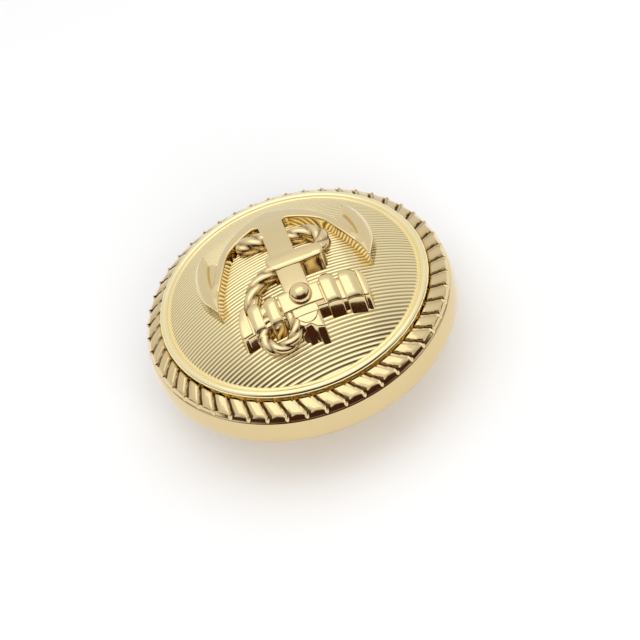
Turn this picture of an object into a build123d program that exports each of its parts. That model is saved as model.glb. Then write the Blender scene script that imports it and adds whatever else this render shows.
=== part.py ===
from build123d import *
import math
import os

# A domed metal shank button: a rope-edged rim closed over a lined disc with a
# fouled anchor on it, a closed back, and a wire eye that swivels in the back.
# Millimetres. +Z points out of the face, z = 0 is the tip of the wire eye.

# Overall size
button_diameter = 25.0
loop_height = 4.5
rim_bottom = loop_height + 0.1
sheet = 0.5

# Rim with its rope border
rim_opening = 10.87
rope_outer_radius = 12.12
rope_inner_z = 7.92
rope_outer_z = 7.08
rope_strands = 50
rope_first_angle = 4.25
rope_slant = 4.3
rope_groove_width = 0.16
rope_groove_depth = 0.16
rope_groove_length = 2.2
rope_bulge = 0.16
rope_crown = (11.6, 7.68)
rim_widest_z = rim_bottom + 0.75
rim_roll_radius = 11.9
rim_bore = 11.75
rim_lip_radius = 11.2
rim_lip_top = rim_bottom + 0.4
rim_seat_z = 7.1

# Domed disc
dome_radius = 16.8
dome_apex = 11.6
dome_centre = dome_apex - dome_radius
field_radius = 9.92
moulding_crest_radius = 10.42
moulding_crest_z = 8.52
moulding_edge_z = 8.0
flange_inner_radius = 10.3

# Anchor emblem, laid out upright and then leaned a little clockwise
emblem_lean = -3.5
emblem_shift = -0.2
body_height = 1.0
stock_base_height = 0.82
stock_height = 1.18
band_height = 1.3
end_height = 1.0
cable_height = 1.0
cable_width = 1.2
ribbon_height = 1.24
crossing_height = 0.6
ring_height = 0.97
arm_centre_y = 0.5
arm_inner_radius = 5.0
arm_outer_radius = 5.7
shank_half_width = 1.0
stock_plate = (3.2, 1.8, 0.0, 4.9)
stock_base = (9.4, 1.9, 0.05, 4.95)
stock_bands = [
    (1.05, 2.8, 2.28, 4.85),
    (1.0, 2.8, 3.65, 4.7),
    (1.18, 2.9, -2.31, 4.7),
    (1.3, 3.0, -3.85, 4.8),
]
stock_ends = [(0.95, 2.6, 4.7, 4.65), (0.65, 2.6, -4.8, 4.9)]
boss_radius = 0.9
boss_spot = (-0.1, 4.65)
shackle_spot = (2.35, 6.12)
shackle_outer_radius = 1.8
shackle_inner_radius = 0.86
ribbon_turn = (4.4, 1.65, -0.8, 1.08)
shank_crossing = (3.2, 0.9, -0.2, -1.95)
stock_crossing = (0.7, 3.4, 3.65, 4.65)
rivet_radius = 0.4
rivet_head_radius = 0.9
rivet_head_height = 0.3
rivet_spots = [(0.0, -5.2), (0.0, 3.1)]

# Back, pocket and eye
back_z = rim_lip_top
back_radius = 11.7
collar_radius = 4.4
pocket_radius = 3.85
eye_hole_radius = 3.15
running_gap = 0.05
float_gap = 0.03
foot_neck_radius = eye_hole_radius - running_gap
foot_flange_radius = pocket_radius - running_gap
cap_radius = 6.0
cap_thickness = 0.4
spacer_inner_radius = 10.4
spacer_outer_radius = 11.65
pad_radius = 9.7
pad_dome_radius = 15.9
wire_radius = 0.75
loop_radius = 2.5


def turned(lines):
    """Solid of revolution about Z from a closed outline of (radius, z) edges."""
    return revolve(Plane.XZ * make_face(lines), Axis.Z, 360)


def rod(radius, low, high):
    """Upright cylinder between two heights."""
    return Pos(0, 0, low) * Cylinder(radius, high - low, align=(Align.CENTER, Align.CENTER, Align.MIN))


def disc(radius, hole, low, high):
    """Flat ring between two heights."""
    return rod(radius, low, high) - rod(hole, low, high)


def dome_ball(offset):
    """Ball whose top surface lies the given distance above the disc's face."""
    return Pos(0, 0, dome_centre) * Sphere(dome_radius + offset)


def on_dome(plan, low, high):
    """Plan outline raised from the dome between two heights above its face."""
    placed = Rot(0, 0, emblem_lean) * Pos(emblem_shift, 0, 0) * plan
    column = extrude(Pos(0, 0, rim_seat_z) * placed, dome_apex - rim_seat_z + 3.0)
    return (column & dome_ball(high)) - dome_ball(low)


def bar(width, length, x, y, radius):
    """Rounded rectangle in plan, centred at (x, y)."""
    return Pos(x, y) * RectangleRounded(width, length, radius)


def rope_groove(index):
    """Cutter for the slanted groove that parts two strands of the rope border."""
    inner = math.radians(rope_first_angle + index * 360 / rope_strands)
    outer = inner + math.radians(rope_slant)
    start = Vector(rim_opening * math.cos(inner), rim_opening * math.sin(inner), rope_inner_z)
    end = Vector(rope_outer_radius * math.cos(outer), rope_outer_radius * math.sin(outer), rope_outer_z)
    along = (end - start).normalized()
    middle = (start + end) * 0.5
    outward = Vector(middle.X, middle.Y, 0).normalized()
    rise = Vector(0, 0, 1) + outward * ((rope_inner_z - rope_outer_z) / (rope_outer_radius - rim_opening))
    normal = (rise - along * rise.dot(along)).normalized()
    floor = Plane(origin=middle + normal * (rope_bulge - rope_groove_depth), x_dir=along, z_dir=normal)
    return floor * Pos(0, 0, 0.5) * Box(rope_groove_length, rope_groove_width, 1.0)


def rope_bezel():
    """Rim shell: rope border, side band, and the lip rolled under the back plate."""
    side_top = (rope_outer_radius + 0.1, rope_outer_z - 0.03)
    widest = (button_diameter / 2, rim_widest_z)
    outline = [
        Line((rim_opening, rim_seat_z), (rim_opening, rope_inner_z)),
        ThreePointArc((rim_opening, rope_inner_z), rope_crown, (rope_outer_radius, rope_outer_z)),
        Line((rope_outer_radius, rope_outer_z), side_top),
        TangentArc(widest, side_top, tangent=(0, 1)),
        TangentArc(widest, (rim_roll_radius, rim_bottom), tangent=(0, -1)),
        Line((rim_roll_radius, rim_bottom), (rim_lip_radius, rim_bottom)),
        Line((rim_lip_radius, rim_bottom), (rim_lip_radius, rim_lip_top)),
        Line((rim_lip_radius, rim_lip_top), (rim_bore, rim_lip_top)),
        Line((rim_bore, rim_lip_top), (rim_bore, rim_seat_z)),
        Line((rim_bore, rim_seat_z), (rim_opening, rim_seat_z)),
    ]
    return turned(outline) - [rope_groove(index) for index in range(rope_strands)]


def face_disc():
    """Domed disc with its moulding ring, the clamped flange and two rivet holes."""
    centre = (0, dome_centre)
    field_z = dome_centre + math.sqrt(dome_radius**2 - field_radius**2)
    inner_radius = dome_radius - sheet
    inside_z = dome_centre + math.sqrt(inner_radius**2 - field_radius**2)
    edge_angle = math.degrees(math.atan2(field_z - dome_centre, field_radius))
    inner_angle = math.degrees(math.atan2(inside_z - dome_centre, field_radius))
    crest = (moulding_crest_radius, moulding_crest_z)
    outline = [
        CenterArc(centre, dome_radius, edge_angle, 90 - edge_angle),
        ThreePointArc((field_radius, field_z), crest, (rim_opening, moulding_edge_z)),
        Line((rim_opening, moulding_edge_z), (rim_opening, rim_seat_z)),
        Line((rim_opening, rim_seat_z), (back_radius, rim_seat_z)),
        Line((back_radius, rim_seat_z), (back_radius, rim_seat_z - sheet)),
        Line((back_radius, rim_seat_z - sheet), (flange_inner_radius, rim_seat_z - sheet)),
        Line((flange_inner_radius, rim_seat_z - sheet), (field_radius, inside_z)),
        CenterArc(centre, inner_radius, inner_angle, 90 - inner_angle),
        Line((0, dome_apex - sheet), (0, dome_apex)),
    ]
    return turned(outline) - rivet_shanks()


def rivet_shanks():
    """The two rivet pins, from under the disc up to the emblem's flat underside."""
    plan = Sketch() + [Pos(x, y) * Circle(rivet_radius) for x, y in rivet_spots]
    return on_dome(plan, -sheet, 0)


def emblem_rivets():
    """Two rivets that hold the anchor, headed against the inside of the disc."""
    heads = Sketch() + [Pos(x, y) * Circle(rivet_head_radius) for x, y in rivet_spots]
    return rivet_shanks() + on_dome(heads, -sheet - rivet_head_height, -sheet)


def fluke(side):
    """Palm of one arm: a pointed leaf with a barb that runs back outside the arm."""
    tip = (6.1 * side, 2.6)
    barb = (5.9 * side, -4.1)
    slot = (5.6 * side, -2.9)
    arm = (4.95 * side, -2.0)
    inside = (4.85 * side, -0.6)
    return make_face([
        Spline(tip, (6.95 * side, 0.7), (7.15 * side, -1.0), (6.85 * side, -2.7), barb),
        Line(barb, slot),
        Line(slot, arm),
        Line(arm, inside),
        Line(inside, tip),
    ])


def ribbon_plan():
    """Flat turn of cable laid across the front of the anchor's shank."""
    return bar(*ribbon_turn, 0.4)


def crossing_plan():
    """Stretches of cable that pass behind the shank and behind the stock."""
    return bar(*shank_crossing, 0.2) + bar(*stock_crossing, 0.2)


def cable_plan():
    """Route of the cable seen from the front, apart from the stretch behind the stock."""
    route = [
        Line((3.65, 4.2), (3.65, 3.4)),
        ThreePointArc((3.65, 3.4), (2.95, 2.05), (1.3, 1.35)),
        Line((1.3, 1.35), (-2.4, 0.9)),
        ThreePointArc((-2.4, 0.9), (-3.25, -0.5), (-1.9, -1.75)),
        Line((-1.9, -1.75), (0.6, -2.1)),
        ThreePointArc((0.6, -2.1), (1.9, -2.6), (3.2, -2.85)),
    ]
    return trace(route, cable_width)


def anchor_plan():
    """Shank with its slanted head block, crown, arms and flukes."""
    arms = Circle(arm_outer_radius) - Circle(arm_inner_radius)
    arms = Pos(0, arm_centre_y) * arms & Pos(0, -5) * Rectangle(20, 9.0)
    crown = make_face(Polyline((-2.0, -4.6), (2.0, -4.6), (0, -6.3), (-2.0, -4.6)))
    shank = bar(2 * shank_half_width, 11.6, 0, 0.6, 0.2)
    head = make_face(Polyline((1.0, 6.0), (1.0, 7.1), (-0.95, 8.0), (-1.0, 6.0), (1.0, 6.0)))
    return shank + head + arms + crown + fluke(1) + fluke(-1)


def anchor_body():
    """Anchor with notches for the cable above and below its shank and for the stock."""
    raised = on_dome(anchor_plan(), 0, body_height)
    raised = raised - on_dome(ribbon_plan(), crossing_height, ribbon_height)
    stock_above = stock_blank() - dome_ball(crossing_height)
    return raised - on_dome(crossing_plan(), 0, crossing_height) - stock_above


def stock_blank():
    """Cross bar with its middle plate, four bands, two end caps and a domed boss."""
    solid = on_dome(bar(*stock_base, 0.3), 0, stock_base_height)
    solid = solid + on_dome(bar(*stock_plate, 0.2), 0, stock_height)
    for band in stock_bands:
        solid = solid + on_dome(bar(*band, 0.4), 0, band_height)
    for end in stock_ends:
        solid = solid + on_dome(bar(*end, 0.3), 0, end_height)
    x, y = boss_spot
    boss_z = dome_centre + math.sqrt((dome_radius + stock_height) ** 2 - y**2)
    boss = Rot(0, 0, emblem_lean) * (Pos(x + emblem_shift, y, boss_z) * Sphere(boss_radius))
    return solid + (boss - dome_ball(stock_base_height))


def anchor_stock():
    """Stock let down over the shank, with the tunnel that the cable runs through."""
    return stock_blank() - on_dome(crossing_plan(), 0, crossing_height) - anchor_body()


def anchor_ring():
    """Shackle ring beside the anchor's head, its far side hidden under the stock."""
    plan = Pos(*shackle_spot) * (Circle(shackle_outer_radius) - Circle(shackle_inner_radius))
    return on_dome(plan, 0, ring_height) - on_dome(anchor_plan(), 0, body_height) - stock_blank()


def anchor_cable():
    """One length of cable, from the ring round the shank and on to the arm."""
    turn = on_dome(ribbon_plan(), 0, ribbon_height)
    free = on_dome(cable_plan(), 0, cable_height)
    low = on_dome(crossing_plan(), 0, crossing_height)
    return turn + free + low - anchor_body() - anchor_stock() - anchor_ring()


def packing_pad():
    """Pressed card filler that backs the dome between the disc and the back."""
    blank = rod(pad_radius, back_z + sheet + cap_thickness, dome_apex)
    return blank & Pos(0, 0, dome_centre) * Sphere(pad_dome_radius)


def spacer_ring():
    """Ring that presses the disc's flange up against the rim."""
    return disc(spacer_outer_radius, spacer_inner_radius, back_z + sheet, rim_seat_z - sheet)


def back_plate():
    """Closed back with the sunk pocket that holds the eye's foot."""
    plate = disc(back_radius, pocket_radius, back_z, back_z + sheet)
    wall = disc(collar_radius, pocket_radius, loop_height, back_z)
    floor = disc(collar_radius, eye_hole_radius, loop_height, back_z)
    bead = Pos(0, 0, back_z) * Torus(8.4, 0.35)
    return plate + wall + floor - bead


def shank_cap():
    """Cover brazed over the pocket on the inside of the back plate."""
    return rod(cap_radius, back_z + sheet, back_z + sheet + cap_thickness)


def shank_foot():
    """Round foot of the eye, trapped in the pocket with room to turn."""
    neck = rod(foot_neck_radius, loop_height, back_z + float_gap)
    flange = rod(foot_flange_radius, back_z + float_gap, back_z + sheet - float_gap)
    return neck + flange


def shank_loop():
    """Wire eye that the thread passes through, open along X."""
    ring = Pos(0, 0, loop_radius + wire_radius) * Rot(0, 90, 0) * Torus(loop_radius, wire_radius)
    return ring - rod(2 * loop_radius, loop_height, 4 * loop_radius)


os.makedirs("parts", exist_ok=True)
for make in (
    rope_bezel,
    face_disc,
    anchor_body,
    anchor_stock,
    anchor_ring,
    anchor_cable,
    emblem_rivets,
    packing_pad,
    spacer_ring,
    back_plate,
    shank_cap,
    shank_foot,
    shank_loop,
):
    export_step(make(), f"parts/{make.__name__}.step")
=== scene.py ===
import math

import bmesh
import bpy
import numpy as np
from mathutils import Matrix, Vector
from mathutils.geometry import delaunay_2d_cdt


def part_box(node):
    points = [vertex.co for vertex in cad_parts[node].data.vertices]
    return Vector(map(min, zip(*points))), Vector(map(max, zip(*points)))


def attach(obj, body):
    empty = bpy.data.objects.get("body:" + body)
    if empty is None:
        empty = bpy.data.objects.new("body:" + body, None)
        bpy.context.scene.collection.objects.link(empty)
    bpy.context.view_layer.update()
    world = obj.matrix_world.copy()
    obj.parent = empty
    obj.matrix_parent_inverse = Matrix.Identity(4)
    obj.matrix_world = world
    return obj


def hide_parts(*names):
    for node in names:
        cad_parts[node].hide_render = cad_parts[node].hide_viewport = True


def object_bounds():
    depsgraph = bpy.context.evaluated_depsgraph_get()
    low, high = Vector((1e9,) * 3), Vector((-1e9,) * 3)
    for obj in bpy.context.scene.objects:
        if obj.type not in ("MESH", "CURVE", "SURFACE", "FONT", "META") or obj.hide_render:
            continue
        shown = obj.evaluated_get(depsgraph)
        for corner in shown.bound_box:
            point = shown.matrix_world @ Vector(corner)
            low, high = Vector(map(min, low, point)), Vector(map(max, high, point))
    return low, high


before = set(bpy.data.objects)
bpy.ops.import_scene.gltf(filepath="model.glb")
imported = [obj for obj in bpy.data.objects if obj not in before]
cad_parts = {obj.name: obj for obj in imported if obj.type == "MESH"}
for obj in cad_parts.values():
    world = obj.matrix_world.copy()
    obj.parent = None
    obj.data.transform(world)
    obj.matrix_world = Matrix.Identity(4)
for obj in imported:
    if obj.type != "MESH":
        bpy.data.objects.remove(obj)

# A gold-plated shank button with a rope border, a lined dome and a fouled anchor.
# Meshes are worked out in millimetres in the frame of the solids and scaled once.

MM = 0.001
cad_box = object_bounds()


def box_mm(node):
    """Lowest and highest corner of a solid, in millimetres."""
    low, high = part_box(node)
    return np.array(low) / MM, np.array(high) / MM


# ---- Places read from the frame ----
rim_low, rim_high = box_mm("rope_bezel")
disc_low, disc_high = box_mm("face_disc")
back_low, back_high = box_mm("back_plate")
foot_low, foot_high = box_mm("shank_foot")
_, loop_high = box_mm("shank_loop")

RIM_RADIUS = rim_high[0]
RIM_BOTTOM = rim_low[2]
ROPE_TOP = rim_high[2]
DOME_APEX = disc_high[2]
FLANGE_Z = disc_low[2]
FLANGE_RADIUS = disc_high[0]

# ---- Sizes that the solids share, millimetres ----
SHEET = 0.5
SEAT_Z = FLANGE_Z + SHEET
RIM_OPENING = 10.87
ROLL_RADIUS = 0.75
LIP_RADIUS = 11.2
BORE_RADIUS = 11.75
ROPE_OUTER = 12.12
STRANDS = 50
FIRST_STRAND = math.radians(4.25)
STRAND_SLANT = math.radians(4.3)
FIELD_RADIUS = 9.92
DOME_RADIUS = 16.8
DOME_CENTRE = DOME_APEX - DOME_RADIUS
RIB_PITCH = 0.30
RIB_DEPTH = 0.068
EMBLEM_LEAN = math.radians(-3.5)
EMBLEM_SHIFT = -0.2
STOCK_TOP = 1.18
STOCK_BASE_TOP = 0.82
BOSS_RADIUS = 0.9
BOSS_PLACE = (-0.1, 4.65)
RING_PLACE = (2.35, 6.12)
RING_RADIUS = 1.3
EYE_HOLE_RADIUS = 3.15
POCKET_RADIUS = 3.85
COLLAR_RADIUS = 4.4
BEAD_RADIUS = 8.4
PLATE_RADIUS = 11.7
RUNNING_GAP = 0.05


# ---- Mesh making ----
def piece(name, node, body, material, parts, sharp=40):
    """One object from closed parts, each (points in mm, faces, painted shade 0..1 for each point)."""
    points, faces, painted_shade = [], [], []
    for part_points, part_faces, part_shade in parts:
        start = len(points)
        points.extend(map(tuple, part_points))
        faces.extend(tuple(start + i for i in face) for face in part_faces)
        painted_shade.extend(part_shade)
    mesh = bpy.data.meshes.new(name)
    mesh.from_pydata((np.array(points) * MM).tolist(), [], faces)
    # Per-point painted shade, read by the gold materials to darken their colour.
    layer = mesh.attributes.new("painted_shade", "FLOAT", "POINT")
    layer.data.foreach_set("value", np.array(painted_shade, dtype=np.float32))
    mesh.validate()
    shape = bmesh.new()
    shape.from_mesh(mesh)
    bmesh.ops.recalc_face_normals(shape, faces=shape.faces)
    shape.to_mesh(mesh)
    shape.free()
    mesh.shade_smooth()
    mesh.set_sharp_from_angle(angle=math.radians(sharp))
    mesh.materials.append(material)
    made = bpy.data.objects.new(name, mesh)
    bpy.context.scene.collection.objects.link(made)
    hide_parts(node)
    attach(made, body)
    return made


def grid_faces(rows, columns, wrap_rows=False, wrap_columns=False):
    """Quads over a grid of points stored row by row."""
    faces = []
    for i in range(rows if wrap_rows else rows - 1):
        for j in range(columns if wrap_columns else columns - 1):
            a = i * columns + j
            b = i * columns + (j + 1) % columns
            c = ((i + 1) % rows) * columns + (j + 1) % columns
            d = ((i + 1) % rows) * columns + j
            faces.append((a, b, c, d))
    return faces


def lathe(profile, steps, change=None):
    """Closed ring turned about Z from a closed outline of (radius, z), counter-clockwise.

    change(radius, height, angle) returns the new radii and heights, and the painted shade of each point."""
    profile = np.array(profile, float)
    angle = np.linspace(0, 2 * math.pi, steps, endpoint=False)
    radius = np.repeat(profile[:, :1], steps, axis=1)
    height = np.repeat(profile[:, 1:2], steps, axis=1)
    painted_shade = np.zeros_like(radius)
    if change:
        radius, height, painted_shade = change(radius, height, angle[None, :])
    points = np.stack([radius * np.cos(angle), radius * np.sin(angle), height], axis=-1)
    faces = grid_faces(len(profile), steps, wrap_rows=True, wrap_columns=True)
    return points.reshape(-1, 3), [face[::-1] for face in faces], painted_shade.ravel()


def arc(centre, radius, start, end, count):
    """Points of an arc, angles in degrees."""
    turn = np.radians(np.linspace(start, end, count))
    return [(centre[0] + radius * math.cos(a), centre[1] + radius * math.sin(a)) for a in turn]


def line(start, end, count):
    """Evenly spaced points from start up to, but not including, end."""
    return [tuple(np.array(start) + (np.array(end) - np.array(start)) * i / count) for i in range(count)]


def dome_z(x, y, lift):
    """Height of the dome's face, raised by lift, above a point in plan."""
    return DOME_CENTRE + np.sqrt((DOME_RADIUS + lift) ** 2 - x**2 - y**2)


def smooth_line(points, spacing):
    """Close points along a smooth open curve through the given ones."""
    points = np.array(points, float)
    ends = np.vstack([2 * points[0] - points[1], points, 2 * points[-1] - points[-2]])
    out = []
    for i in range(1, len(ends) - 2):
        a, b, c, d = ends[i - 1 : i + 3]
        count = max(2, int(np.linalg.norm(c - b) / spacing))
        for t in np.arange(count) / count:
            square = (2 * a - 5 * b + 4 * c - d) * t**2
            cube = (3 * b - a - 3 * c + d) * t**3
            out.append(0.5 * (2 * b + (c - a) * t + square + cube))
    out.append(points[-1])
    return np.array(out)


def even_loop(points, spacing, rounding):
    """Closed loop with evenly spaced points and its corners rounded off."""
    points = np.array(points, float)
    closed = np.vstack([points, points[:1]])
    run = np.concatenate([[0], np.cumsum(np.linalg.norm(np.diff(closed, axis=0), axis=1))])
    at = np.linspace(0, run[-1], int(run[-1] / spacing), endpoint=False)
    loop = np.stack([np.interp(at, run, closed[:, i]) for i in range(2)], axis=1)
    for _ in range(rounding):
        loop = 0.5 * loop + 0.25 * (np.roll(loop, 1, 0) + np.roll(loop, -1, 0))
    return loop


def inset(loop, distance):
    """Counter-clockwise loop moved inwards, or outwards if negative."""
    along = np.roll(loop, -1, 0) - np.roll(loop, 1, 0)
    along /= np.linalg.norm(along, axis=1)[:, None]
    return loop + distance * np.stack([-along[:, 1], along[:, 0]], axis=1)


def on_emblem(x, y, lift):
    """Point over the dome from its place in the upright emblem."""
    x = x + EMBLEM_SHIFT
    across = x * math.cos(EMBLEM_LEAN) - y * math.sin(EMBLEM_LEAN)
    up = x * math.sin(EMBLEM_LEAN) + y * math.cos(EMBLEM_LEAN)
    return np.stack([across, up, dome_z(across, up, lift)], axis=-1)


def relief(outline, top, edge=0.12, draft=0.1, apron=0.0, spacing=0.05, rounding=6, foot=-0.12):
    """Closed raised shape on the dome: drafted wall, rounded edge, and a top whose lift is top(x, y).

    The wall towards the ring leans out further, by the apron, in a hollow curve."""
    loop = even_loop(outline, spacing, rounding)
    height = top(loop[:, 0], loop[:, 1])
    lean = apron * np.clip((inset(loop, -1) - loop)[:, 1], 0, 1)
    rings = [on_emblem(*(inset(loop, -draft) + [0, 1] * lean[:, None]).T, np.full(len(loop), foot))]
    # Painted shade: full at the wall's foot, fading up the wall, none on the rounded edge and top, full
    # underneath.
    painted_shade = [np.ones(len(loop))]
    for share in (0.1, 0.2, 0.35, 0.5, 0.65, 0.85):
        ring = inset(loop, -draft * (1 - share)) + [0, (1 - share) ** 1.35] * lean[:, None]
        rings.append(on_emblem(*ring.T, foot + (height - edge - foot) * share))
        painted_shade.append(np.full(len(loop), 0.6 * (1 - share)))
    for turn in np.radians([0, 15, 30, 45, 60, 75, 90]):
        ring = inset(loop, edge * (1 - math.cos(turn)))
        rings.append(on_emblem(*ring.T, height - edge * (1 - math.sin(turn))))
        painted_shade.append(np.zeros(len(loop)))
    count = len(loop)
    faces = grid_faces(len(rings), count, wrap_columns=True)
    inner = inset(loop, edge)
    step = 0.22
    low, high = inner.min(0), inner.max(0)
    xs, ys = np.meshgrid(np.arange(low[0], high[0], step), np.arange(low[1], high[1], step))
    spots = np.stack([xs.ravel(), ys.ravel()], axis=1)
    spots = spots[inside(spots, inset(loop, edge + 0.6 * step))]
    all_plan = [Vector(p) for p in np.vstack([inner, spots])]
    rim = [(i, (i + 1) % count) for i in range(count)]
    plan, _, fill, _, _, _ = delaunay_2d_cdt(all_plan, rim, [], 1, 1e-7)
    plan = np.array([tuple(p) for p in plan])
    lid = on_emblem(plan[:, 0], plan[:, 1], top(plan[:, 0], plan[:, 1]))
    base = on_emblem(plan[:, 0], plan[:, 1], np.full(len(plan), foot))
    points = np.vstack(rings)
    rim_top = (len(rings) - 1) * count
    points[rim_top:] = lid[:count]
    extra = len(points)
    points = np.vstack([points, lid[count:], base[count:]])
    free = len(plan) - count
    faces += [tuple(rim_top + i if i < count else extra + i - count for i in face) for face in fill]
    faces += [tuple(i if i < count else extra + free + i - count for i in face)[::-1] for face in fill]
    marks = np.concatenate(painted_shade + [np.zeros(free), np.ones(free)])
    return points, faces, marks


def inside(spots, loop):
    """Which spots lie inside a closed loop."""
    hit = np.zeros(len(spots), bool)
    for a, b in zip(loop, np.roll(loop, -1, 0)):
        if a[1] == b[1]:
            continue
        crosses = (a[1] > spots[:, 1]) != (b[1] > spots[:, 1])
        hit ^= crosses & (spots[:, 0] < (b[0] - a[0]) * (spots[:, 1] - a[1]) / (b[1] - a[1]) + a[0])
    return hit


def rope(route, radius, lobes, lay, around=30, spacing=0.06, closed=False, groove=0.16):
    """Closed twisted rope along a route of (x, y, lift) in the emblem's plan."""
    path = np.array(route, float) if closed else smooth_line(route, spacing)
    centre = on_emblem(path[:, 0], path[:, 1], path[:, 2])
    if closed:
        ahead = np.roll(centre, -1, 0) - np.roll(centre, 1, 0)
    else:
        ahead = np.gradient(centre, axis=0)
    ahead /= np.linalg.norm(ahead, axis=1)[:, None]
    out = centre - np.array([0, 0, DOME_CENTRE])
    out -= ahead * np.sum(out * ahead, axis=1)[:, None]
    out /= np.linalg.norm(out, axis=1)[:, None]
    side = np.cross(ahead, out)
    run = np.concatenate([[0], np.cumsum(np.linalg.norm(np.diff(centre, axis=0), axis=1))])
    turn = np.linspace(0, 2 * math.pi, around, endpoint=False)
    phase = lobes * turn[None, :] + 2 * math.pi * run[:, None] / lay
    ridge = np.abs(np.cos(phase / 2))
    girth = radius * (1 - groove + groove * ridge**0.6)
    if not closed:
        ends = np.minimum(run, run[-1] - run) / radius
        girth = girth * np.sqrt(np.clip(1 - (1 - np.clip(ends, 0, 1)) ** 2, 0.02, 1))[:, None]
    points = (
        centre[:, None]
        + girth[..., None] * np.cos(turn)[None, :, None] * side[:, None]
        + girth[..., None] * np.sin(turn)[None, :, None] * out[:, None]
    )
    count = len(centre)
    points = points.reshape(-1, 3)
    # Painted shade in the grooves between the strands.
    painted_shade = ((1 - ridge) ** 2).ravel()
    faces = grid_faces(count, around, wrap_rows=closed, wrap_columns=True)
    if not closed:
        last = (count - 1) * around
        faces += [tuple(range(around))[::-1], tuple(last + i for i in range(around))]
    return points, faces, painted_shade


# ---- Materials ----
def gold(name, colour, shade_colour, rough, grain=0.0, scratch=0.02, smudge=0.35):
    """Plated metal: painted shade, dark and warm, in its recesses; faint cloudiness; fine polishing marks.
    """
    material = bpy.data.materials.new(name)
    material.use_nodes = True
    nodes, links = material.node_tree.nodes, material.node_tree.links
    shader = nodes["Principled BSDF"]
    shader.inputs["Metallic"].default_value = 1.0
    shader.inputs["Coat Weight"].default_value = 0.7
    shader.inputs["Coat Roughness"].default_value = 0.06
    place = nodes.new("ShaderNodeTexCoord")
    cloud = nodes.new("ShaderNodeTexNoise")
    cloud.inputs["Scale"].default_value = 420.0
    cloud.inputs["Detail"].default_value = 4.0
    links.new(place.outputs["Object"], cloud.inputs["Vector"])
    # Painted shade: the per-point attribute mixes the colour towards the second, darker colour in grooves,
    # at wall feet and underneath.
    painted_shade = nodes.new("ShaderNodeAttribute")
    painted_shade.attribute_name = "painted_shade"
    shade_tint = nodes.new("ShaderNodeMix")
    shade_tint.data_type = "RGBA"
    shade_tint.inputs[6].default_value = (*colour, 1)
    shade_tint.inputs[7].default_value = (*shade_colour, 1)
    links.new(painted_shade.outputs["Fac"], shade_tint.inputs[0])
    mottle = nodes.new("ShaderNodeMix")
    mottle.data_type = "RGBA"
    mottle.blend_type = "MULTIPLY"
    mottle.inputs[0].default_value = 1.0
    shade = nodes.new("ShaderNodeMapRange")
    shade.inputs["To Min"].default_value = 0.97
    shade.inputs["To Max"].default_value = 1.03
    links.new(cloud.outputs["Fac"], shade.inputs["Value"])
    links.new(shade_tint.outputs[2], mottle.inputs[6])
    links.new(shade.outputs["Result"], mottle.inputs[7])
    links.new(mottle.outputs[2], shader.inputs["Base Color"])
    gloss = nodes.new("ShaderNodeMapRange")
    gloss.inputs["To Min"].default_value = rough * (1 - smudge)
    gloss.inputs["To Max"].default_value = rough * (1 + smudge)
    links.new(cloud.outputs["Fac"], gloss.inputs["Value"])
    links.new(gloss.outputs["Result"], shader.inputs["Roughness"])
    marks = nodes.new("ShaderNodeTexNoise")
    marks.inputs["Scale"].default_value = 2600.0
    marks.inputs["Detail"].default_value = 3.0
    marks.inputs["Distortion"].default_value = grain
    links.new(place.outputs["Object"], marks.inputs["Vector"])
    bump = nodes.new("ShaderNodeBump")
    bump.inputs["Strength"].default_value = scratch
    bump.inputs["Distance"].default_value = 0.00002
    links.new(marks.outputs["Fac"], bump.inputs["Height"])
    links.new(bump.outputs["Normal"], shader.inputs["Normal"])
    return material


# Each finish gives its base colour, then the colour of the painted shade in its recesses, then roughness.
PALE = (0.79, 0.63, 0.33)
WARM_SHADE = (0.58, 0.43, 0.13)
polished = gold("polished_gold", (0.75, 0.59, 0.30), (0.14, 0.07, 0.025), 0.10)
lined = gold("lined_gold", (0.96, 0.82, 0.46), (0.34, 0.23, 0.08), 0.12)
bright = gold("emblem_gold", PALE, WARM_SHADE, 0.13)
corded = gold("cable_gold", PALE, (0.20, 0.10, 0.035), 0.12)
plain_back = gold("back_gold", (0.88, 0.67, 0.34), WARM_SHADE, 0.2, grain=2.0, scratch=0.06)
wire_gold = gold("shank_gold", (0.88, 0.67, 0.34), WARM_SHADE, 0.18, scratch=0.06)
raw_brass = gold("inner_brass", (0.72, 0.53, 0.25), (0.5, 0.33, 0.12), 0.34, scratch=0.12)


# ---- Rim with its rope border ----
ROPE_TOP_ROWS = 14
ROPE_FACE_TILT = math.radians(66)
# Cut depth at which the rope's painted shade is full.
FULL_SHADE_DEPTH = 0.25
# Painted shade that dims the rim's side band a little, against its reflection of the bright table.
SIDE_PAINTED_SHADE = 0.07
ROPE_LIP_Z = ROPE_TOP + 0.04
rope_band_end = (ROPE_OUTER - 0.18, ROPE_LIP_Z - 0.52)
step_end = (ROPE_OUTER + 0.07, ROPE_LIP_Z - 0.99)


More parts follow.
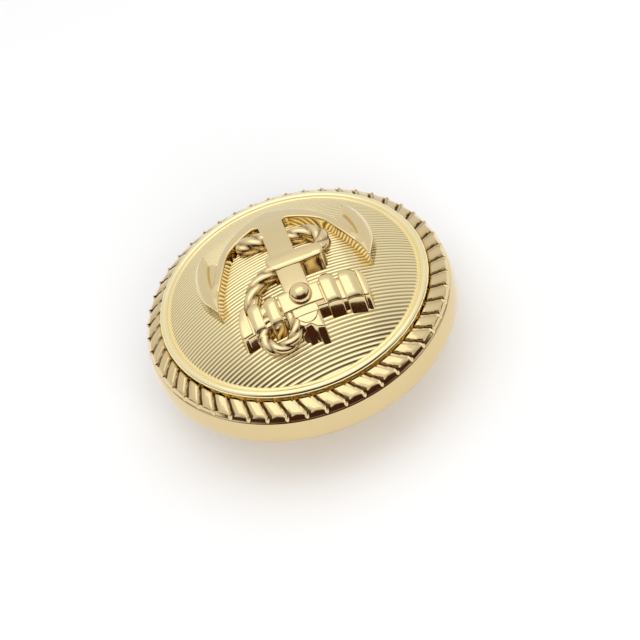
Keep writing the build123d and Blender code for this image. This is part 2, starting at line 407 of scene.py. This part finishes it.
def rim_outline():
    """Closed outline of the rim in (radius, z), and which rows carry the rope."""
    widest = RIM_BOTTOM + ROLL_RADIUS
    lip_top = RIM_BOTTOM + 0.4
    rope = [
        (
            RIM_OPENING + (rope_band_end[0] - RIM_OPENING) * t,
            ROPE_LIP_Z + (rope_band_end[1] - ROPE_LIP_Z) * t + 0.03 * math.sin(math.pi * t),
        )
        for t in np.linspace(0, 1, ROPE_TOP_ROWS)
    ]
    step = line(rope_band_end, step_end, 5)[1:] + [step_end]
    side_start = (ROPE_OUTER + 0.1, ROPE_LIP_Z - 1.01)
    rise = side_start[1] - widest
    run_in = RIM_RADIUS - side_start[0]
    side_radius = (rise**2 + run_in**2) / (2 * run_in)
    side_turn = math.degrees(math.asin(rise / side_radius))
    side = arc((RIM_RADIUS - side_radius, widest), side_radius, side_turn, 0, 16)
    roll = arc((RIM_RADIUS - ROLL_RADIUS, widest), ROLL_RADIUS, -6, -90, 14)
    lip = [(LIP_RADIUS + 0.3, RIM_BOTTOM), (LIP_RADIUS + 0.06, RIM_BOTTOM)]
    lip += [(LIP_RADIUS + 0.01, RIM_BOTTOM + 0.05), (LIP_RADIUS, RIM_BOTTOM + 0.2)]
    lip += [(LIP_RADIUS + 0.01, lip_top - 0.05), (LIP_RADIUS + 0.06, lip_top), (BORE_RADIUS - 0.05, lip_top)]
    bore = [(BORE_RADIUS, lip_top + 0.1), (BORE_RADIUS, SEAT_Z + 0.05), (BORE_RADIUS - 0.05, SEAT_Z + 0.1)]
    inner = [(RIM_OPENING, SEAT_Z + 0.1), (RIM_OPENING, ROPE_LIP_Z - 0.4), (RIM_OPENING, ROPE_LIP_Z - 0.1)]
    return rope + step + side + roll + lip + bore + inner, len(rope), len(step)


def strand_change(radius, height, angle):
    """Cuts the slanted strands, each with a narrow ledge, a deep groove and a tooth on the step below.

    at is the place across one strand, 0..1, and cut is the depth there."""
    _, rope_rows, step_rows = rim_shape
    across = np.zeros(len(radius))
    across[:rope_rows] = np.linspace(0, 1, rope_rows)
    across[rope_rows : rope_rows + step_rows] = 1
    pitch = 2 * math.pi / STRANDS
    phase = ((angle - FIRST_STRAND - STRAND_SLANT * across[:, None]) / pitch) % 1
    at = [0.0, 0.03, 0.06, 0.16, 0.17, 0.19, 0.25, 0.29, 0.33, 0.6, 0.94, 0.97, 1.0]
    cut = [0.09, 0.09, 0.045, 0.04, 0.06, 0.28, 0.28, 0.28, 0.04, 0.0, 0.02, 0.03, 0.09]
    depth = np.interp(phase, at, cut)
    start = np.clip(1 - across / 0.08, 0, 1) * 0.16
    finish = np.clip((across - 0.93) / 0.07, 0, 1) ** 2 * 0.03
    weight = np.zeros(len(radius))
    weight[:rope_rows] = 1
    # Painted shade in the strand grooves, deeper cuts darker.
    painted_shade = np.clip(depth / FULL_SHADE_DEPTH, 0, 1) * weight[:, None]
    # The side band gets a small even painted shade.
    painted_shade[rope_rows + step_rows :] = SIDE_PAINTED_SHADE
    depth = (depth + (start + finish)[:, None]) * weight[:, None]
    tooth = np.interp(phase, [0, 0.02, 0.05, 0.15, 0.18, 1.0], [0, 0.03, 0.2, 0.2, 0, 0])
    out = np.zeros(len(radius))
    out[rope_rows - 1 : rope_rows + step_rows] = np.linspace(1, 0, step_rows + 1)
    new_radius = radius - depth * math.cos(ROPE_FACE_TILT) + tooth * out[:, None]
    return new_radius, height - depth * math.sin(ROPE_FACE_TILT), painted_shade


rim_shape = rim_outline()
STEPS_PER_STRAND = 24
rim_metal = lathe(rim_shape[0], STRANDS * STEPS_PER_STRAND, strand_change)
piece("rope_bezel_metal", "rope_bezel", "button", polished, [rim_metal], 50)


# ---- Domed disc ----
def moulding():
    """Stepped ring round the field, its wall inside the rim and its clamped flange."""
    field_z = dome_z(FIELD_RADIUS, 0, 0)
    crest = arc((10.04, 8.28), 0.14, 150, 40, 10) + arc((10.44, 8.18), 0.34, 148, -25, 22)
    under = FIELD_RADIUS - 0.32
    start = [(under, field_z - 0.55), (under, field_z - 0.15), (FIELD_RADIUS - 0.06, field_z - 0.06)]
    wall = [(10.76, SEAT_Z + SHEET), (RIM_OPENING, SEAT_Z + 0.1), (RIM_OPENING, SEAT_Z)]
    flange = [(FLANGE_RADIUS, SEAT_Z), (FLANGE_RADIUS, FLANGE_Z), (10.3, FLANGE_Z), (10.1, SEAT_Z + 0.1)]
    return [*start, *crest, *wall, *flange][::-1]


def lined_field():
    """Domed skin with fine ribs along X, closed underneath."""
    reach = FIELD_RADIUS + 0.08
    rows_per_rib = 8
    rows = int(2 * reach / RIB_PITCH * rows_per_rib)
    columns = 89
    y = np.linspace(-1, 1, rows) * (reach - 0.01)
    u = np.linspace(-1, 1, columns)
    x = u[None, :] * np.sqrt(reach**2 - y**2)[:, None]
    yy = np.repeat(y[:, None], columns, axis=1)
    wave = np.abs(np.cos(math.pi * yy / RIB_PITCH))
    top = np.stack([x, yy, dome_z(x, yy, RIB_DEPTH * (wave - 1))], axis=-1).reshape(-1, 3)
    under = np.stack([x, yy, dome_z(x, yy, -SHEET)], axis=-1).reshape(-1, 3)
    size = rows * columns
    faces = grid_faces(rows, columns)
    faces += [tuple(size + i for i in face)[::-1] for face in grid_faces(rows, columns)]
    edge = list(range(columns))
    edge += [i * columns + columns - 1 for i in range(1, rows)]
    edge += [size - 1 - i for i in range(1, columns)]
    edge += [i * columns for i in range(rows - 2, 0, -1)]
    for a, b in zip(edge, edge[1:] + edge[:1]):
        faces.append((b, a, size + a, size + b))
    # Painted shade in the valleys between ribs, full underneath.
    painted_shade = np.concatenate([((1 - wave) ** 1.5).ravel(), np.ones(size)])
    return np.vstack([top, under]), faces, painted_shade


disc_parts = [lathe(moulding(), 360), lined_field()]
piece("face_disc_metal", "face_disc", "button", lined, disc_parts, 50)


# ---- Anchor emblem ----
def anchor_outline():
    """The anchor's outline from the crown's point, counter-clockwise."""
    arm_out = [(0, -6.15), (1.0, -5.75), (2.2, -5.15), (3.5, -4.15), (4.5, -3.0), (5.1, -1.9), (5.65, -0.7)]
    barb_in = [(5.98, 0.15), (6.02, -0.8), (5.85, -2.0), (5.6, -3.1), (5.72, -4.1)]
    palm = [(5.72, -4.1), (6.4, -3.55), (6.9, -2.5), (7.12, -1.2), (7.1, -0.1), (6.9, 0.8)]
    palm += [(6.5, 1.75), (6.12, 2.6)]
    arm_in = [(6.12, 2.6), (5.72, 1.15), (5.2, 0), (4.65, -1.1), (3.85, -2.6), (2.5, -3.6), (1.4, -4.15)]
    neck = [(1.05, -4.0), (1.0, -3.6), (1.0, 0.0), (1.0, 6.2)]
    side = np.vstack([smooth_line(run, 0.05) for run in (arm_out, barb_in, palm, arm_in, neck)])
    return np.vstack([side, side[:0:-1] * [-1, 1]])


def anchor_lift(x, y):
    """Height of the anchor's top over the dome: a flat shank, and palms dished along their middle."""
    palm = np.clip((np.abs(x) - 4.6) / 1.2, 0, 1)
    middle = 6.35 - 0.025 * (y + 0.5) ** 2
    ridge = 0.18 * palm * np.clip(1 - ((np.abs(x) - middle) / 0.8) ** 2, 0, 1)
    return 0.96 + ridge


def palm_web(side):
    """Low web that fills the slot between one arm and the barb of its fluke."""
    web = [(5.0, -2.3), (5.3, -2.75), (5.7, -2.9), (6.0, -2.0)]
    web += [(6.15, -0.8), (6.05, 0.3), (5.55, -0.5), (5.2, -1.3)]
    web = [(side * x, y) for x, y in web[::side]]
    return relief(web, lambda x, y: 0.86 + 0.03 * y, edge=0.08)


shank_outline = [(-0.98, -4.35), (0.98, -4.35), (0.98, 6.2), (-0.98, 6.2)]
shank = relief(shank_outline, lambda x, y: 1.05 - 0.03 * x**2, draft=0.02, edge=0.08)
head_outline = [(-1.0, 5.9), (1.0, 5.9), (1.0, 6.55), (0.45, 6.95), (0.0, 6.85), (-0.4, 7.2), (-0.95, 7.3)]
head = relief(
    head_outline, lambda x, y: 0.92 - 0.1 * (x - 0.2) ** 2, edge=0.08, draft=0.05, apron=0.85, rounding=5
)
eye_step = relief(arc((0.0, 6.0), 0.8, 0, 352, 46), lambda x, y: 1.0 + 0 * x, edge=0.04, draft=0.03)
anchor = relief(anchor_outline(), anchor_lift, edge=0.2, draft=0.08)
anchor_parts = [anchor, shank, head, eye_step, palm_web(1), palm_web(-1)]
piece("anchor_metal", "anchor_body", "button", bright, anchor_parts, 50)


def slab(left, right, far, near, height, crown=0.14):
    """Raised bar of the stock, rounded down at its far end and cut square towards the ring."""
    middle, half = (left + right) / 2, (right - left) / 2
    outline = arc((middle, far + half), half, 180, 360, 24) + [(right, near), (left, near)]

    def top(x, y):
        fall = np.clip((far + 0.75 - y) / 0.75, 0, 1)
        dip = np.clip((y - near + 0.5) / 0.5, 0, 1)
        return height - 0.4 * fall**2 - 0.15 * dip**2 - crown * ((x - middle) / half) ** 2

    return relief(outline, top, edge=0.1, draft=0.05, apron=0.45, rounding=4)


def stock_boss():
    """Round boss on the middle of the stock."""
    steps = 48
    turn = np.linspace(0, 2 * math.pi, steps, endpoint=False)
    middle = on_emblem(np.array(BOSS_PLACE[:1]), np.array(BOSS_PLACE[1:]), STOCK_TOP)[0]
    out = middle - np.array([0, 0, DOME_CENTRE])
    out /= np.linalg.norm(out)
    across = np.cross(out, [0, 1, 0])
    across /= np.linalg.norm(across)
    along = np.cross(out, across)
    rings = []
    for tilt in np.radians([-20, -8, 0, 8, 16, 24, 32, 40, 48, 56, 64, 72, 78, 84, 88]):
        ring = np.cos(turn)[:, None] * across + np.sin(turn)[:, None] * along
        rings.append(middle + BOSS_RADIUS * (math.cos(tilt) * ring + math.sin(tilt) * out))
    last = (len(rings) - 1) * steps
    faces = grid_faces(len(rings), steps, wrap_columns=True)
    faces += [tuple(last + i for i in range(steps)), tuple(range(steps))[::-1]]
    # Painted shade at the boss's foot, none above.
    return np.vstack(rings), faces, np.repeat([1.0, 0.5] + [0.0] * (len(rings) - 2), steps)


base_outline = [(-4.7, 4.0), (4.8, 4.0), (4.8, 5.75), (-4.7, 5.75)]
plate_outline = [(-1.62, 4.0), (1.62, 4.0), (1.62, 5.6), (-1.62, 5.6)]
left_end = [(4.25, 3.35), (4.6, 3.35), (5.05, 4.2), (5.22, 5.1), (5.15, 5.65), (4.25, 5.65)]
right_end = [(-4.55, 5.9), (-4.95, 5.9), (-5.15, 5.2), (-5.1, 4.1), (-4.75, 3.6), (-4.55, 3.6)]
stock_parts = [
    relief(base_outline, lambda x, y: STOCK_BASE_TOP + 0 * x, apron=0.3, rounding=2),
    relief(plate_outline, lambda x, y: STOCK_TOP + 0 * x, apron=0.35, rounding=2),
    slab(1.75, 2.8, 3.45, 5.98, 1.18), slab(3.15, 4.15, 3.3, 5.85, 1.16),
    slab(-2.9, -1.72, 3.25, 5.9, 1.2), slab(-4.5, -3.2, 3.3, 6.0, 1.2),
    relief(left_end, lambda x, y: 0.95 + 0 * x, apron=0.42),
    relief(right_end, lambda x, y: 0.97 + 0 * x, apron=0.42),
    stock_boss(),
]
piece("anchor_stock_metal", "anchor_stock", "button", bright, stock_parts, 50)

ring_turn = np.linspace(0, 2 * math.pi, 150, endpoint=False)
ring_x = RING_PLACE[0] + RING_RADIUS * np.cos(ring_turn)
ring_y = RING_PLACE[1] + RING_RADIUS * np.sin(ring_turn)
ring_length, ring_lays = 8.17, 7
ring_route = np.stack([ring_x, ring_y, 0.48 + 0 * ring_turn], axis=1)
ring_rope = rope(ring_route, 0.56, 3, ring_length / ring_lays, closed=True, groove=0.34)
piece("anchor_ring_metal", "anchor_ring", "button", corded, [ring_rope], 60)


def turn_lift(x, y):
    """Height of the flat turn of cable, falling a little towards the head."""
    return 1.24 - 0.1 * ((y - 0.95) / 0.9) ** 2


turn_outline = [(-2.8, 0.32), (-1.2, 0.34), (0.1, 0.22), (1.35, 0.08), (1.5, 0.7), (1.3, 1.55)]
turn_outline += [(0.9, 1.76), (-1.0, 1.8), (-2.7, 1.62), (-3.0, 1.3), (-3.05, 0.7)]
curl = [(-2.3, 0.85, 0.6), (-2.8, 0.6, 0.58), (-3.2, 0.0, 0.52), (-3.28, -0.6, 0.5), (-3.05, -1.25, 0.5)]
curl += [(-2.5, -1.65, 0.5), (-1.7, -1.78, 0.48), (-0.6, -1.8, 0.4)]
tail = [(0.5, -2.3, 0.4), (1.2, -2.55, 0.48), (1.9, -2.75, 0.48), (2.6, -2.85, 0.42), (3.2, -2.85, 0.35)]
lead = [(0.8, 1.2, 0.62), (1.45, 1.42, 0.62), (2.1, 1.58, 0.6), (2.8, 1.98, 0.56), (3.35, 2.6, 0.48)]
lead += [(3.65, 3.35, 0.36), (3.7, 4.2, 0.32), (3.65, 5.2, 0.32)]
cable = [
    relief(turn_outline, turn_lift, edge=0.18, draft=0.06, apron=0.5, rounding=12),
    rope(curl, 0.66, 3, 1.25, groove=0.28),
    rope(tail, 0.74, 3, 1.3, groove=0.26),
    rope(lead, 0.64, 3, 1.35, groove=0.24),
]
piece("anchor_cable_metal", "anchor_cable", "button", corded, cable, 60)


# ---- Back, foot and eye ----
def back_outline():
    """Back plate in (radius, z): flat ring with a turned bead, then the pocket's wall and floor."""
    low, top = back_low[2], back_high[2]
    seat = top - SHEET
    turn = np.radians(np.linspace(180, 0, 14))
    bead = [(BEAD_RADIUS + 0.35 * math.cos(a), seat + 0.12 * math.sin(a)) for a in turn]
    floor_edge = [(EYE_HOLE_RADIUS, low + 0.06), (EYE_HOLE_RADIUS + 0.06, low)]
    floor_edge += line((3.3, low), (4.3, low), 4)
    collar = [(COLLAR_RADIUS - 0.04, low + 0.03), (COLLAR_RADIUS, low + 0.09), (COLLAR_RADIUS, seat - 0.12)]
    collar += [(COLLAR_RADIUS + 0.03, seat - 0.05), (COLLAR_RADIUS + 0.1, seat)]
    ring = [*line((4.7, seat), (7.9, seat), 8), *bead, *line((8.9, seat), (11.5, seat), 8)]
    inside_face = [(PLATE_RADIUS, seat), (PLATE_RADIUS, top), *line((11.5, top), (4.0, top), 10)]
    pocket = [(POCKET_RADIUS, top), (POCKET_RADIUS, seat), (EYE_HOLE_RADIUS, seat)]
    return floor_edge + collar + ring + inside_face + pocket


back_metal = lathe(back_outline(), 300)
piece("back_plate_metal", "back_plate", "button", plain_back, [back_metal], 50)


def solid_disc(outline, steps):
    """Closed disc turned about Z from an open outline that starts and ends on the axis."""
    rings = np.array(outline[1:-1], float)
    angle = np.linspace(0, 2 * math.pi, steps, endpoint=False)
    points = [(r * math.cos(a), r * math.sin(a), z) for r, z in rings for a in angle]
    faces = grid_faces(len(rings), steps, wrap_columns=True)
    points += [(0, 0, outline[0][1]), (0, 0, outline[-1][1])]
    last = (len(rings) - 1) * steps
    faces += [(len(points) - 2, (i + 1) % steps, i) for i in range(steps)]
    faces += [(len(points) - 1, last + i, last + (i + 1) % steps) for i in range(steps)]
    return points, faces, [0.0] * len(points)


foot_z, foot_top = foot_low[2], foot_high[2]
flange_z = back_low[2] + SHEET + 0.03
neck = EYE_HOLE_RADIUS - RUNNING_GAP
flange = POCKET_RADIUS - RUNNING_GAP
foot_outline = [(0, foot_z), (1.2, foot_z), (2.4, foot_z), (3.0, foot_z + 0.01)]
foot_outline += [(neck - 0.03, foot_z + 0.03), (neck, foot_z + 0.08), (neck, flange_z), (flange, flange_z)]
foot_outline += [(flange, foot_top), (1.5, foot_top), (0, foot_top)]


def eye(radius, wire, top_z):
    """Wire loop open along X, its two ends flared into a small fillet where they meet the foot."""
    centre_z = radius + wire
    leave = math.asin((top_z - centre_z) / radius)
    turn = np.linspace(math.pi - leave + 0.12, 2 * math.pi + leave - 0.12, 121)
    around = np.linspace(0, 2 * math.pi, 40, endpoint=False)
    rings = []
    for a in turn:
        away = min(a - turn[0], turn[-1] - a)
        swell = 1 + 0.12 * math.exp(-away / 0.06)
        y = (radius + wire * swell * np.cos(around)) * math.cos(a)
        z = centre_z + (radius + wire * swell * np.cos(around)) * math.sin(a)
        rings.append(np.stack([wire * swell * np.sin(around), y, z], axis=1))
    points = np.vstack(rings)
    points[:, 2] = np.minimum(points[:, 2], top_z)
    faces = grid_faces(len(turn), 40, wrap_columns=True)
    last = (len(turn) - 1) * 40
    faces += [tuple(range(40))[::-1], tuple(last + i for i in range(40))]
    return points, faces, np.zeros(len(points))


wire = loop_high[0]
loop = eye(loop_high[1] - wire, wire, loop_high[2])
foot = solid_disc(foot_outline, 180)
piece("shank_foot_metal", "shank_foot", "shank", wire_gold, [foot], 50)
piece("shank_loop_metal", "shank_loop", "shank", wire_gold, [loop], 50)


# ---- Hidden solids keep their shape and get a finish ----
def card():
    """Pressed grey-brown card with fibres."""
    material = bpy.data.materials.new("packing_card")
    material.use_nodes = True
    nodes, links = material.node_tree.nodes, material.node_tree.links
    shader = nodes["Principled BSDF"]
    shader.inputs["Roughness"].default_value = 0.9
    fibre = nodes.new("ShaderNodeTexNoise")
    fibre.inputs["Scale"].default_value = 1500.0
    fibre.inputs["Detail"].default_value = 6.0
    ramp = nodes.new("ShaderNodeValToRGB")
    ramp.color_ramp.elements[0].color = (0.20, 0.15, 0.10, 1)
    ramp.color_ramp.elements[1].color = (0.45, 0.36, 0.25, 1)
    bump = nodes.new("ShaderNodeBump")
    bump.inputs["Distance"].default_value = 0.00005
    place = nodes.new("ShaderNodeTexCoord")
    links.new(place.outputs["Object"], fibre.inputs["Vector"])
    links.new(fibre.outputs["Fac"], ramp.inputs["Fac"])
    links.new(ramp.outputs["Color"], shader.inputs["Base Color"])
    links.new(fibre.outputs["Fac"], bump.inputs["Height"])
    links.new(bump.outputs["Normal"], shader.inputs["Normal"])
    return material


card_material = card()
for node, material in (
    ("emblem_rivets", raw_brass),
    ("spacer_ring", raw_brass),
    ("shank_cap", raw_brass),
    ("packing_pad", card_material),
):
    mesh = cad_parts[node].data
    mesh.materials.clear()
    mesh.materials.append(material)


# ---- Floor, lights and camera ----
def floor():
    """Plain pale table at the height of the eye's tip."""
    material = bpy.data.materials.new("table_white")
    material.use_nodes = True
    nodes, links = material.node_tree.nodes, material.node_tree.links
    shader = nodes["Principled BSDF"]
    shader.inputs["Roughness"].default_value = 0.75
    shader.inputs["Specular IOR Level"].default_value = 0.2
    grain = nodes.new("ShaderNodeTexNoise")
    grain.inputs["Scale"].default_value = 60.0
    tone = nodes.new("ShaderNodeMapRange")
    tone.inputs["To Min"].default_value = 0.86
    tone.inputs["To Max"].default_value = 0.89
    links.new(grain.outputs["Fac"], tone.inputs["Value"])
    links.new(tone.outputs["Result"], shader.inputs["Base Color"])
    half, near = 0.6, 0.06
    mesh = bpy.data.meshes.new("table")
    corners = [(-half, -half, 0), (half, -half, 0), (half, near, 0), (-half, near, 0)]
    mesh.from_pydata(corners, [], [(0, 1, 2, 3)])
    mesh.materials.append(material)
    table = bpy.data.objects.new("table", mesh)
    table.location.z = cad_box[0].z - 0.00002
    bpy.context.scene.collection.objects.link(table)


def softbox(name, place, aim, width, depth, radiance, mirrored=True):
    """Rectangular studio light, sizes in metres; unmirrored ones are not seen in the metal."""
    lamp = bpy.data.lights.new(name, "AREA")
    lamp.shape = "RECTANGLE"
    lamp.size, lamp.size_y = width, depth
    lamp.energy = radiance * math.pi * width * depth
    made = bpy.data.objects.new(name, lamp)
    made.location = place
    made.rotation_mode = "QUATERNION"
    made.rotation_quaternion = (Vector(aim) - Vector(place)).to_track_quat("-Z", "Y")
    made.visible_camera = False
    made.visible_glossy = mirrored
    bpy.context.scene.collection.objects.link(made)


def ramp(nodes, links, source, low, high, first, last):
    """Smooth change from one number to another as a direction's component goes from low to high."""
    change = nodes.new("ShaderNodeMapRange")
    change.interpolation_type = "SMOOTHSTEP"
    change.inputs["From Min"].default_value = low
    change.inputs["From Max"].default_value = high
    change.inputs["To Min"].default_value = first
    change.inputs["To Max"].default_value = last
    links.new(source, change.inputs["Value"])
    return change.outputs["Result"]


# Each dark wall: where it starts and where it is full, going round towards the ring, then the height up to
# which it is full and where it ends. All four are components of a unit direction.
DARK_WALLS = ((0.25, 0.75, 0.42, 0.78), (-0.45, -0.1, 0.08, 0.24))
TOWARDS_RING = (0.1, 0.98, 0)


def studio():
    """Pale room, brighter overhead, with dark walls low towards the ring; white to the eye."""
    world = bpy.data.worlds.new("studio")
    bpy.context.scene.world = world
    world.use_nodes = True
    nodes, links = world.node_tree.nodes, world.node_tree.links
    back = nodes["Background"]
    place = nodes.new("ShaderNodeTexCoord")
    split = nodes.new("ShaderNodeSeparateXYZ")
    links.new(place.outputs["Generated"], split.inputs[0])
    ahead = nodes.new("ShaderNodeVectorMath")
    ahead.operation = "DOT_PRODUCT"
    ahead.inputs[1].default_value = TOWARDS_RING
    links.new(place.outputs["Generated"], ahead.inputs[0])
    room = ramp(nodes, links, split.outputs["Z"], 0.55, 0.97, 0.82, 1.05)
    dark = []
    for start, full, full_height, end_height in DARK_WALLS:
        facing = ramp(nodes, links, ahead.outputs["Value"], start, full, 0.0, 1.0)
        low = ramp(nodes, links, split.outputs["Z"], full_height, end_height, 1.0, 0.0)
        wall = nodes.new("ShaderNodeMath")
        wall.operation = "MULTIPLY"
        links.new(facing, wall.inputs[0])
        links.new(low, wall.inputs[1])
        dark.append(wall.outputs[0])
    both = nodes.new("ShaderNodeMath")
    both.operation = "MAXIMUM"
    links.new(dark[0], both.inputs[0])
    links.new(dark[1], both.inputs[1])
    above_table = ramp(nodes, links, split.outputs["Z"], -0.45, -0.2, 0.0, 1.0)
    shade = nodes.new("ShaderNodeMath")
    shade.operation = "MULTIPLY"
    links.new(both.outputs[0], shade.inputs[0])
    links.new(above_table, shade.inputs[1])
    tone = nodes.new("ShaderNodeMix")
    tone.data_type = "RGBA"
    links.new(shade.outputs[0], tone.inputs[0])
    links.new(room, tone.inputs[6])
    tone.inputs[7].default_value = (0.06, 0.022, 0.012, 1)
    links.new(tone.outputs[2], back.inputs["Color"])
    seen = nodes.new("ShaderNodeLightPath")
    plain = nodes.new("ShaderNodeBackground")
    plain.inputs["Color"].default_value = (1, 1, 1, 1)
    mix = nodes.new("ShaderNodeMixShader")
    links.new(seen.outputs["Is Camera Ray"], mix.inputs[0])
    links.new(back.outputs[0], mix.inputs[1])
    links.new(plain.outputs[0], mix.inputs[2])
    links.new(mix.outputs[0], nodes["World Output"].inputs["Surface"])


def camera():
    """Long lens from the emblem's ring side, about 46 degrees up, rolled as the table shot is."""
    data = bpy.data.cameras.new("camera")
    data.sensor_width = 36.0
    data.lens = 112.2
    data.clip_start, data.clip_end = 0.01, 5.0
    right = Vector((-0.9106, 0.3385, -0.2373)).normalized()
    up = Vector((-0.4069, -0.6331, 0.6585))
    up = (up - right * up.dot(right)).normalized()
    back = right.cross(up)
    made = bpy.data.objects.new("camera", data)
    turn = Matrix((right, up, back)).transposed().to_4x4()
    made.matrix_world = Matrix.Translation(Vector((10.3, 110.3, 117.15)) * MM) @ turn
    bpy.context.scene.collection.objects.link(made)
    bpy.context.scene.camera = made


floor()
softbox("overhead", (0, 0, 0.24), (0, 0, 0.008), 0.30, 0.17, 0.5)
softbox("table_fill", (0, 0.5, 0.3), (0, 0, 0), 0.5, 0.3, 4.5, mirrored=False)
studio()
camera()
bpy.context.scene.view_settings.view_transform = "Standard"
bpy.context.scene.view_settings.look = "None"
